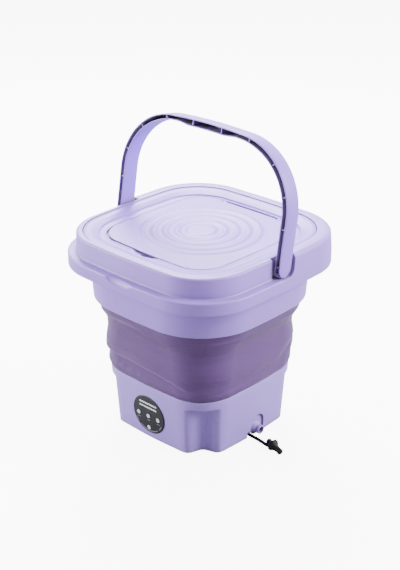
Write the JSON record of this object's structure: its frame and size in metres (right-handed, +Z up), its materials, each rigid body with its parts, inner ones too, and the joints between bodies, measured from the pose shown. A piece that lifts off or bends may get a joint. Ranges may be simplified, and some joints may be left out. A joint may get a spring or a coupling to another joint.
{
  "type": "folding mini washing machine",
  "caption": "Portable top load washing machine with a collapsible tub, a lift-off lid with a flap, a bail handle and a plugged drain.",
  "frame": {"origin": "middle of the base at floor level", "axes": "+Z up, -Y towards the control panel, +X towards the drain nozzle"},
  "size_m": [0.2921, 0.2848, 0.4017],
  "materials": {
    "lavender_plastic": "satin, softly reflective",
    "translucent_purple_rubber": "satin, slightly translucent",
    "dark_panel_plastic": "matte",
    "pale_button_plastic": "matte",
    "black_rubber": "matte",
    "grey_rubber": "matte",
    "steel": "plated",
    "bronze": "sintered",
    "white_plastic": "matte",
    "circuit_board": "solder mask"
  },
  "bodies": {
    "base": {"base_shell": "lavender_plastic", "bottom_cover": "lavender_plastic", "cover_screw_front_left": "steel", "cover_screw_front_right": "steel", "cover_screw_back_left": "steel", "cover_screw_back_right": "steel", "foot_front_left": "grey_rubber", "foot_front_right": "grey_rubber", "foot_back_left": "grey_rubber", "foot_back_right": "grey_rubber", "gearbox": "white_plastic", "motor": "steel", "shaft_bush": "bronze", "shaft_seal": "black_rubber", "control_board": "circuit_board", "control_panel": "dark_panel_plastic", "drain_nozzle": "lavender_plastic", "drain_tube": "grey_rubber", "power_jack": "black_rubber", "lower_clamp_ring": "lavender_plastic", "bellows": "translucent_purple_rubber", "drain_strap": "black_rubber", "drain_plug": "black_rubber"},
    "rim": {"rim_frame": "lavender_plastic", "upper_clamp_ring": "lavender_plastic", "handle_pin_left": "steel", "handle_pin_right": "steel"},
    "handle": {"handle": "lavender_plastic"},
    "lid": {"lid_panel": "lavender_plastic", "lid_seal": "grey_rubber", "flap_pin_left": "steel", "flap_pin_right": "steel"},
    "flap": {"flap": "lavender_plastic"},
    "pulsator": {"pulsator": "white_plastic", "drive_shaft": "steel"},
    "button_time": {"button_time": "pale_button_plastic"},
    "button_wash": {"button_wash": "pale_button_plastic"},
    "button_spin": {"button_spin": "pale_button_plastic"},
    "button_power": {"button_power": "pale_button_plastic"}
  },
  "joints": [
    {"name": "rim_collapse", "type": "slide", "parent": "base", "child": "rim", "axis": [0, 0, -1], "range_m": [0, 0.088], "deforming": ["bellows"]},
    {"name": "handle_swing", "type": "hinge", "parent": "rim", "child": "handle", "pos_m": [0, 0, 0.2542], "axis": [1, 0, 0], "range_deg": [0, 99.4]},
    {"name": "lid_lift", "type": "slide", "parent": "rim", "child": "lid", "axis": [0, 0, 1], "range_m": [0, 0.05]},
    {"name": "flap_hinge", "type": "hinge", "parent": "lid", "child": "flap", "pos_m": [0, 0.0967, 0.261], "axis": [-1, 0, 0], "range_deg": [0, 50]},
    {"name": "pulsator_spin", "type": "hinge", "parent": "base", "child": "pulsator", "pos_m": [0, 0, 0.07], "axis": [0, 0, 1], "continuous": true},
    {"name": "time_press", "type": "slide", "parent": "base", "child": "button_time", "axis": [0, 0.9959, 0.0909], "range_m": [0, 0.0008], "stiffness_N_per_m": 600},
    {"name": "wash_press", "type": "slide", "parent": "base", "child": "button_wash", "axis": [0, 0.9959, 0.0909], "range_m": [0, 0.0008], "stiffness_N_per_m": 600},
    {"name": "spin_press", "type": "slide", "parent": "base", "child": "button_spin", "axis": [0, 0.9959, 0.0909], "range_m": [0, 0.0008], "stiffness_N_per_m": 600},
    {"name": "power_press", "type": "slide", "parent": "base", "child": "button_power", "axis": [0, 0.9959, 0.0909], "range_m": [0, 0.0008], "stiffness_N_per_m": 600}
  ]
}
